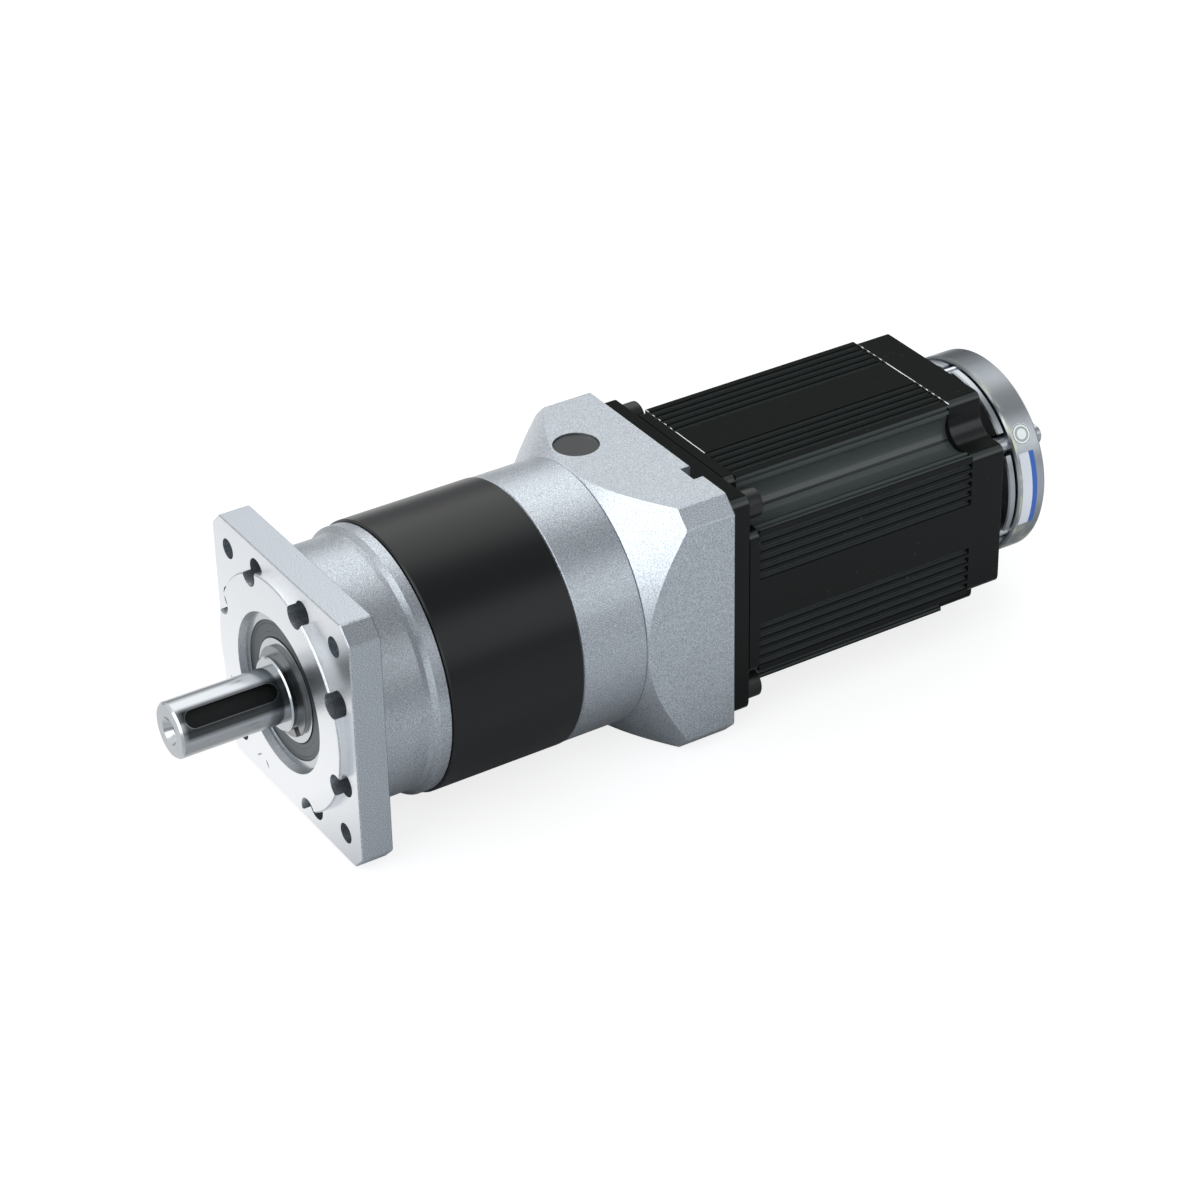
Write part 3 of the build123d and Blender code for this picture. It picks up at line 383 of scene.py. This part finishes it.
def zincPlated(name="zincPlated", hasStainsAndShade=True):
    p = newPaint(name)
    x, y, z = p.spot()
    cloudy = p.noise(plating["clouds"], 4, 0.6)
    fine = p.noise(plating["fine"], 3, 0.6)
    colour = p.mix(cloudy, grey(plating["dark"], plating["darkTint"]),
                   grey(plating["pale"], plating["paleTint"]))
    metal = 1.0
    if hasStainsAndShade:                     # stains, pale, on the wall's edges and low down; painted shade, dark in patches on its top
        blotch = p.noise(stains["scale"], 4, 0.65)
        edge = p.fall(y, brakeFront + stains["frontEdge"] * mm, 1200)
        edge = edge + p.clamp((y - brakeBack + stains["rearEdge"] * mm) * 2000)
        low = p.clamp((0 - z - stains["below"] * mm) * 90)
        onWall = p.clamp(1.1 - abs(p.facing()[1]) * 1.3)
        stain = p.rise(blotch, stains["from"], 9) * p.clamp(edge + low) * onWall
        colour = p.mix(stain * stains["mix"], colour, stains["colour"])
        metal = 1 - stain * 0.5
        # painted shade, dark in patches on the top
        high = p.clamp((z - paintedTopShade["above"] * mm) * 90 + (blotch - 0.5) * 1.2)
        high = high * p.fall(x, paintedTopShade["upTo"] * mm, 50)
        colour = p.mix(high * paintedTopShade["mix"], colour, grey(paintedTopShade["level"], paintedTopShade["tint"]))
    return p.surface(colour, p.vary(plating["rough"], fine, 0.12), metal,
                     p.bump(fine, plating["fineDepth"], 0.3))


moulded = {"tint": (0.93, 1, 1), "dark": 0.8, "pale": 1.2, "grain": 2200, "depth": 0.00002}


def mouldedBlack(name, level, rough):
    p = newPaint(name)
    grain = p.noise(moulded["grain"], 3, 0.6)
    colour = p.shades(grain, (level * moulded["dark"], level * moulded["pale"]), moulded["tint"])
    return p.surface(colour, p.vary(rough, grain, 0.1), 0.0, p.bump(grain, moulded["depth"], 0.4))


oxide = {"levels": (0.02, 0.045), "grain": 1200, "depth": 0.00001, "rough": 0.34, "metal": 0.6}


def blackOxide():
    p = newPaint("blackOxide")
    grain = p.noise(oxide["grain"], 3, 0.6)
    return p.surface(p.shades(grain, oxide["levels"]), p.vary(oxide["rough"], grain, 0.12), oxide["metal"],
                     p.bump(grain, oxide["depth"], 0.4))


copper = {"dark": (0.28, 0.09, 0.03, 1), "bright": (0.72, 0.33, 0.14, 1), "turns": 420.0, "depth": 0.0001}


def windingCopper():
    p = newPaint("windingCopper")
    turns = p.node("TexWave", {"wave_type": "BANDS", "bands_direction": "Y"},
                   {"Vector": p.place(), "Scale": copper["turns"], "Distortion": 1.2, "Detail": 2.0}, 1)
    colour = p.mix(turns, copper["dark"], copper["bright"])
    return p.surface(colour, 0.35, 0.85, p.bump(turns, copper["depth"], 0.7))


core = {"dark": grey(0.2), "pale": grey(0.42, (0.97, 0.98, 1)), "sheets": 2000, "depth": 0.00006}


def laminations():
    p = newPaint("laminations")
    sheets = p.lines(p.spot()[1] * core["sheets"], 1.0)
    colour = p.mix(sheets, core["dark"], core["pale"])
    return p.surface(colour, 0.42, 0.9, p.bump(sheets, core["depth"], 0.6))


bronze = {"dark": (0.52, 0.3, 0.1, 1), "bright": (0.78, 0.52, 0.22, 1), "turned": 7000, "depth": 0.00001}


def turnedBronze():
    p = newPaint("turnedBronze")
    turned = p.lines(p.spot()[1] * bronze["turned"])
    colour = p.mix(turned, bronze["dark"], bronze["bright"])
    return p.surface(colour, 0.32, 1.0, p.bump(turned, bronze["depth"], 0.4))


lining = {"dark": grey(0.014, (1, 0.97, 0.9)), "pale": grey(0.045, (1, 0.97, 0.86)), "chips": 900.0,
          "depth": 0.00008}


def frictionLining():
    p = newPaint("frictionLining")
    chips = p.node("TexVoronoi", None, {"Vector": p.place(), "Scale": lining["chips"]})
    colour = p.mix(chips, lining["dark"], lining["pale"])
    return p.surface(colour, 0.75, 0.0, p.bump(chips, lining["depth"], 0.6))


finishes = {
    "outputHousing": blastedAluminium("blastedOutput", 0.58, paintedSlantShade=0.28, hasPilot=True),
    "inputHousing": blastedAluminium("blastedInput", 0.62),
    "adapter": blastedAluminium("blastedAdapter", 0.68, paintedTopLevel=0.63),
    "anodised": blackAnodised(),
    "motorBlack": motorBlack(),
    "ground": groundSteel(),
    "keyed": groundSteel("keyedSteel", 0.6, 0.19, hasKeyway=True),
    "gear": groundSteel("gearSteel", 0.5, 0.32),
    "race": groundSteel("raceSteel", 0.62, 0.16),
    "shield": bearingShield(),
    "spring": sheetSteel("springSteel", 0.3, 0.3),
    "magnet": sheetSteel("magnetNickel", 0.5, 0.24),
    "zinc": zincPlated(),
    "brightZinc": zincPlated("brightZinc", hasStainsAndShade=False),
    "plug": mouldedBlack("plugPlastic", 0.035, 0.5),
    "rubber": mouldedBlack("sealRubber", 0.012, 0.6),
    "gland": mouldedBlack("glandPlastic", 0.012, 0.45),
    "oxide": blackOxide(),
    "copper": windingCopper(),
    "laminations": laminations(),
    "bronze": turnedBronze(),
    "lining": frictionLining(),
}
print("finishes ready:", len(finishes))

wearers = {
    "outputHousing": ["output_housing"],
    "inputHousing": ["input_housing"],
    "adapter": ["motor_adapter"],
    "anodised": ["ring_gear"],
    "motorBlack": ["motor_front_flange", "motor_housing", "rear_bell"],
    "keyed": ["output_shaft"],
    "ground": ["planet_pins", "clamp_hub", "motor_shaft", "bearing_spacer", "brake_hub",
               "brake_guide_pins"],
    "gear": ["planet_gear_1", "planet_gear_2", "planet_gear_3", "sun_gear"],
    "race": [name for name in nodes if name.endswith(("_race", "_balls"))],
    "shield": [name for name in nodes if name.endswith("_shields")],
    "spring": ["output_bearing_circlip", "shaft_circlip", "hub_circlip", "wave_washer",
               "brake_springs"],
    "magnet": ["rotor_magnets"],
    "zinc": ["brake_magnet_body"],
    "brightZinc": ["brake_friction_plate", "armature_plate", "brake_sleeves", "brake_screws"],
    "plug": ["access_plug"],
    "rubber": ["input_shaft_seal"],
    "gland": ["cable_gland"],
    "oxide": ["output_housing_screws", "input_housing_screws", "adapter_screws",
              "motor_mounting_screws", "motor_body_screws", "clamp_screw"],
    "copper": ["stator_windings", "brake_coil"],
    "laminations": ["stator_core", "rotor_core"],
    "bronze": ["planet_bush_1", "planet_bush_2", "planet_bush_3"],
    "lining": ["friction_disc"],
}
for finish, names in wearers.items():
    for name in names:
        for slot in nodes[name].material_slots:
            slot.material = finishes[finish]
dressed = {name for names in wearers.values() for name in names}
print("nodes without a finish:", sorted(set(nodes) - dressed))

# Building pieces
smoothAngle = 35


def newPiece(name, bm, finish, body):
    mesh = bpy.data.meshes.new(name)
    bmesh.ops.remove_doubles(bm, verts=bm.verts, dist=1e-7)
    bmesh.ops.recalc_face_normals(bm, faces=bm.faces)
    bm.to_mesh(mesh)
    bm.free()
    mesh.shade_smooth()
    mesh.set_sharp_from_angle(angle=radians(smoothAngle))
    piece = bpy.data.objects.new(name, mesh)
    bpy.context.scene.collection.objects.link(piece)
    mesh.materials.append(finish)
    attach(piece, body)
    return piece


# A cap screw's head radius, head height and key stand beside its size
capScrew = {"sizes": {4: (3.5, 4.0, 3.0), 6: (5.0, 6.0, 5.0)}, "headRound": 0.35, "socketDepth": 0.5,
            "socketReach": 0.62, "shankPart": 0.97, "segments": 40, "finish": "oxide",
            "slot": "screw_steel"}


def addCapScrew(bm, size, length, x, y, z, towards):   # seat at x, y, z; towards 1 heads to +Y, -1 to -Y
    headRadius, headHeight, key = (v * mm for v in capScrew["sizes"][size])
    headRound, segments = capScrew["headRound"] * mm, capScrew["segments"]
    shankRadius = size / 2 * mm * capScrew["shankPart"]
    part = bmesh.new()
    bmesh.ops.create_cone(part, segments=segments, radius1=headRadius, radius2=headRadius,
                          depth=headHeight, cap_ends=True,
                          matrix=Matrix.Translation((0, 0, headHeight / 2)))
    top = next(f for f in part.faces if f.normal.z > 0.9)
    bmesh.ops.bevel(part, geom=list(top.edges), offset=headRound, segments=3, profile=0.5,
                    affect="EDGES", material=-1)
    top = max((f for f in part.faces if f.normal.z > 0.99), key=lambda f: f.calc_center_median().z)
    bmesh.ops.inset_region(part, faces=[top], use_even_offset=True,
                           thickness=headRadius - headRound - key * capScrew["socketReach"])
    for v in top.verts:               # the round inset becomes the key's hexagon
        away = Vector((v.co.x, v.co.y))
        angle = away.angle_signed(Vector((1, 0)))
        flatAngle = round(angle / (pi / 3)) * pi / 3
        v.co.x, v.co.y = away.normalized() * (key / 2 / max(cos(angle - flatAngle), 0.5))
    sunk = bmesh.ops.extrude_face_region(part, geom=[top])
    bmesh.ops.delete(part, geom=[top], context="FACES_ONLY")
    deep = [v for v in sunk["geom"] if isinstance(v, bmesh.types.BMVert)]
    bmesh.ops.translate(part, verts=deep, vec=(0, 0, -headHeight * capScrew["socketDepth"]))
    bmesh.ops.create_cone(part, segments=segments // 2, radius1=shankRadius, radius2=shankRadius,
                          depth=length * mm, cap_ends=True,
                          matrix=Matrix.Translation((0, 0, -length / 2 * mm)))
    turn = Matrix.Translation((x, y, z)) @ Matrix.Rotation(-towards * pi / 2, 4, "X")
    bmesh.ops.transform(part, matrix=turn, verts=part.verts)
    copy = bpy.data.meshes.new("screwCopy")
    part.to_mesh(copy)
    part.free()
    bm.from_mesh(copy)
    bpy.data.meshes.remove(copy)


def around(radius, count, start):
    angles = [radians(start + 360 / count * k) for k in range(count)]
    return [(radius * cos(angle), radius * sin(angle)) for angle in angles]


def square(half):
    return [(half * a, half * b) for a in (-1, 1) for b in (-1, 1)]


screwSets = {
    "outputScrewSet": {"node": "output_housing_screws", "size": 4, "length": 35, "seat": 9.0,
                       "towards": -1, "places": around(39.5, 8, 22.5)},
    "motorScrewSet": {"node": "motor_mounting_screws", "size": 6, "length": 20, "seat": 149.6,
                      "towards": 1, "places": square(34.8)},
}
for name, spec in screwSets.items():
    bm = bmesh.new()
    for x, z in spec["places"]:
        addCapScrew(bm, spec["size"], spec["length"], x * mm, spec["seat"] * mm, z * mm, spec["towards"])
    piece = newPiece(name, bm, finishes[capScrew["finish"]], "housing")
    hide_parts(spec["node"])
print("screws made")

# Labels on the brake
label = {"thickness": 0.1, "stand": 0.02, "steps": 48, "fine": 2500, "fineDepth": 0.000005}
rating = {"angles": (-19.2, 25.4), "along": (266.6, 272.8), "stripe": (270.75, 272.9),
          "dark": grey(0.72, (0.94, 0.99, 1.06)), "pale": grey(0.82, (0.95, 0.99, 1.05)), "sheen": 90,
          "blue": (0.035, 0.13, 0.5, 1)}
sticker = {"angle": 35.5, "along": 270.1, "radius": 3.8, "rings": 6, "spokes": 48,
           "rim": (3.35, 3.62), "inner": (1.9, 2.7), "pale": grey(0.9, (0.96, 1.0, 0.98)),
           "innerColour": grey(0.42, (0.92, 1, 0.97)), "rimColour": grey(0.1, (0.75, 1, 0.9))}


def film(p, colour, rough):           # a smooth paper's surface
    fine = p.noise(label["fine"], 2, 0.5)
    return p.surface(colour, p.vary(rough, fine, 0.1), 0.0, p.bump(fine, label["fineDepth"], 0.3))


def ratingFilm():                     # white, with a blue stripe
    p = newPaint("ratingFilm")
    white = p.mix(p.noise(rating["sheen"], 3, 0.5), rating["dark"], rating["pale"])
    return film(p, p.mix(p.within(p.spot()[1], rating["stripe"]), white, rating["blue"]), 0.34)


def stickerFilm(centre):              # pale, with a thin dark rim and a faint ring
    p = newPaint("roundFilm")
    x, y, z = p.spot()
    away = p.sum("SQRT", (x - centre.x) ** 2 + (y - centre.y) ** 2 + (z - centre.z) ** 2)
    pale = p.mix(p.within(away, sticker["inner"]), sticker["pale"], sticker["innerColour"])
    return film(p, p.mix(p.within(away, sticker["rim"]), pale, sticker["rimColour"]), 0.36)


def bentPatch(spec, radius):          # a strip that follows the brake's cylinder
    bm = bmesh.new()
    inner = radius + label["stand"] * mm
    outer = inner + label["thickness"] * mm
    low, high = spec["angles"]
    front, back = (place * mm for place in spec["along"])
    section = [bm.verts.new((r * cos(radians(low)), y, r * sin(radians(low))))
               for r, y in ((inner, front), (outer, front), (outer, back), (inner, back))]
    edges = [bm.edges.new((section[k], section[(k + 1) % 4])) for k in range(4)]
    bmesh.ops.spin(bm, geom=edges + section, cent=(0, 0, 0), axis=(0, -1, 0),
                   angle=radians(high - low), steps=label["steps"])
    bmesh.ops.holes_fill(bm, edges=[e for e in bm.edges if e.is_boundary])
    return bm


def bentDisc(spec, radius):           # a disc wrapped round the brake's cylinder
    bm = bmesh.new()
    inner = radius + label["stand"] * mm
    discRadius = spec["radius"] * mm
    bmesh.ops.create_cone(bm, segments=spec["spokes"], radius1=discRadius, radius2=discRadius,
                          depth=label["thickness"] * mm, cap_ends=True)
    flat = [f for f in bm.faces if abs(f.normal.z) > 0.9]
    for k in range(spec["rings"]):
        bmesh.ops.inset_region(bm, faces=flat, thickness=discRadius / (spec["rings"] + 1))
        flat = [f for f in bm.faces if len(f.verts) > 4]
    for v in bm.verts:
        angle = radians(spec["angle"]) + v.co.x / radius
        reach = inner + v.co.z + label["thickness"] * mm / 2
        v.co = Vector((reach * cos(angle), spec["along"] * mm + v.co.y, reach * sin(angle)))
    return bm


stickerTurn = radians(sticker["angle"])
stickerCentre = Vector((brakeRadius * cos(stickerTurn), sticker["along"] * mm,
                        brakeRadius * sin(stickerTurn)))
newPiece("ratingLabel", bentPatch(rating, brakeRadius), ratingFilm(), "housing")
newPiece("roundLabel", bentDisc(sticker, brakeRadius), stickerFilm(stickerCentre), "housing")
print("labels made")

# Stage, in metres
middleStation = 0.12
paper = {"below": 0.0002, "size": 6.0, "shown": 0.79, "shadow": 0.3, "plain": grey(0.84, (0.98, 0.99, 1)),
         "dim": 0.1, "dimMix": 0.33, "dimMore": 0.37, "frontSide": 0.045, "frontEnd": 0.012,
         "leftSide": -0.06, "farEnd": 0.75, "shadeSide": 0.085, "shadeFrom": 0.02}


def stagePaper():                     # white; metal shows it white to the left and grey to the right
    p = newPaint("stagePaper")
    mirrored = p.ray("Is Glossy Ray")
    x, y, z = p.spot()
    inFront = p.fall(x, paper["frontSide"], 20) * p.clamp(y * 9 + 1.25) * p.fall(y, paper["frontEnd"], 90)
    toLeft = p.fall(x, paper["leftSide"], 20) * p.clamp(y * 20) * p.fall(y, paper["farEnd"], 3)
    beneath = p.fall(x, paper["shadeSide"], 20) * p.rise(y, paper["shadeFrom"], 30)   # the motor's shade
    white = p.node("Emission", None, {"Color": (1, 1, 1, 1), "Strength": paper["shown"]})
    shadow = p.node("BsdfDiffuse", None, {"Color": grey(paper["shadow"])})
    shown = p.node("AddShader", None, {0: white, 1: shadow})
    lit = p.node("BsdfDiffuse", None, {"Color": paper["plain"]})
    dim = p.node("BsdfDiffuse", None, {"Color": grey(paper["dim"])})
    plain = p.blend(mirrored * (beneath * paper["dimMore"] + paper["dimMix"]), lit, dim)
    bright = p.node("Emission", None, {"Color": (1, 1, 1, 1), "Strength": 1.0})
    reflected = p.blend(mirrored * p.clamp(inFront + toLeft), plain, bright)
    seen = p.clamp(p.ray("Is Camera Ray") + p.ray("Is Transmission Ray"))
    p.node("OutputMaterial", None, {"Surface": p.blend(seen, reflected, shown)})
    return p.owner


bm = bmesh.new()
bmesh.ops.create_grid(bm, x_segments=1, y_segments=1, size=paper["size"],
                      matrix=Matrix.Translation((0, middleStation, cadBox[0][2] - paper["below"])))
mesh = bpy.data.meshes.new("floor")
bm.to_mesh(mesh)
bm.free()
floor = bpy.data.objects.new("floor", mesh)
bpy.context.scene.collection.objects.link(floor)
mesh.materials.append(stagePaper())

# Air round the object, with a darker gap between the soft boxes
air = {"colour": (0.93, 0.96, 1.0, 1), "mirrored": 0.37, "matt": 0.8, "gap": (0.52, 0.45, 0.72),
       "gapFrom": 0.94, "gapMix": 0.25, "gapLevel": 0.05, "raisedFrom": 0.2, "frontFrom": -0.1,
       "leftFrom": 0.06}


def studioAir():                      # white behind the object; metal shows that white up on the left
    world = bpy.data.worlds.new("studio")
    p = Paint(world)
    direction = p.node("TexCoord", None, None, "Generated")
    gap = tuple(Vector(air["gap"]).normalized())
    towardsGap = p.node("VectorMath", {"operation": "DOT_PRODUCT"}, {0: direction, 1: gap}, "Value")
    darker = p.rise(towardsGap, air["gapFrom"], 20) * air["gapMix"]
    x, y, z = p.split(direction)
    raised = p.clamp((z - air["raisedFrom"]) * 4 + p.fall(y, air["frontFrom"], 4))
    behind = p.fall(x, air["leftFrom"], 2.5) * raised
    colour = p.mix(darker, air["colour"], grey(air["gapLevel"]))
    strength = p.ray("Is Diffuse Ray") * (air["matt"] - air["mirrored"]) + air["mirrored"]
    dimAir = p.node("Background", None, {"Color": colour, "Strength": strength})
    backdrop = p.node("Background", None, {"Color": (1, 1, 1, 1), "Strength": 1.0})
    showing = p.clamp(p.ray("Is Camera Ray") + p.ray("Is Transmission Ray") + p.ray("Is Glossy Ray") * behind)
    p.node("OutputWorld", None, {"Surface": p.blend(showing, dimAir, backdrop)})
    return world


bpy.context.scene.world = studioAir()

middle = Vector((0, middleStation, 0))
lampColour = (0.97, 0.985, 1.0)
lamps = {
    "keyBox": {"towards": (-0.46, 0.43, 0.78), "away": 1.35, "size": 1.15, "power": 2.3},
    "frontCard": {"towards": (0.15, -0.90, 0.40), "away": 1.3, "size": 1.3, "power": 9.5},
    "sideFill": {"towards": (0.76, 0.45, 0.46), "away": 1.5, "size": 0.9, "power": 2.2},
}
for name, spec in lamps.items():
    data = bpy.data.lights.new(name, "AREA")
    data.shape = "SQUARE"
    data.size = spec["size"]
    data.energy = spec["power"]
    data.color = lampColour
    lamp = bpy.data.objects.new(name, data)
    away = Vector(spec["towards"]).normalized()
    lamp.location = middle + away * spec["away"]
    lamp.rotation_euler = away.to_track_quat("Z", "Y").to_euler()
    bpy.context.scene.collection.objects.link(lamp)

# Camera, fitted to the photograph's viewing angle
view = {"azimuth": 57.96, "elevation": 31.716, "roll": -1.088, "distance": 1.165006, "lens": 105.385,
        "sensor": 36, "shiftX": -0.0052, "shiftY": -0.0182, "reach": 50}
azimuth, elevation, roll = (radians(view[key]) for key in ("azimuth", "elevation", "roll"))
back = Vector((sin(azimuth) * cos(elevation), -cos(azimuth) * cos(elevation), sin(elevation)))
right = Vector((cos(azimuth), sin(azimuth), 0))
up = back.cross(right)
rightRolled = right * cos(roll) + up * sin(roll)
upRolled = up * cos(roll) - right * sin(roll)
cameraData = bpy.data.cameras.new("camera")
cameraData.lens = view["lens"]
cameraData.sensor_width = view["sensor"]
cameraData.shift_x = view["shiftX"]
cameraData.shift_y = view["shiftY"]
cameraData.clip_end = view["reach"]
camera = bpy.data.objects.new("camera", cameraData)
turn = Matrix((rightRolled, upRolled, back)).transposed().to_4x4()
camera.matrix_world = Matrix.Translation(middle + back * view["distance"]) @ turn
bpy.context.scene.collection.objects.link(camera)
bpy.context.scene.camera = camera
bpy.context.scene.view_settings.view_transform = "Standard"
print("stage and camera ready")
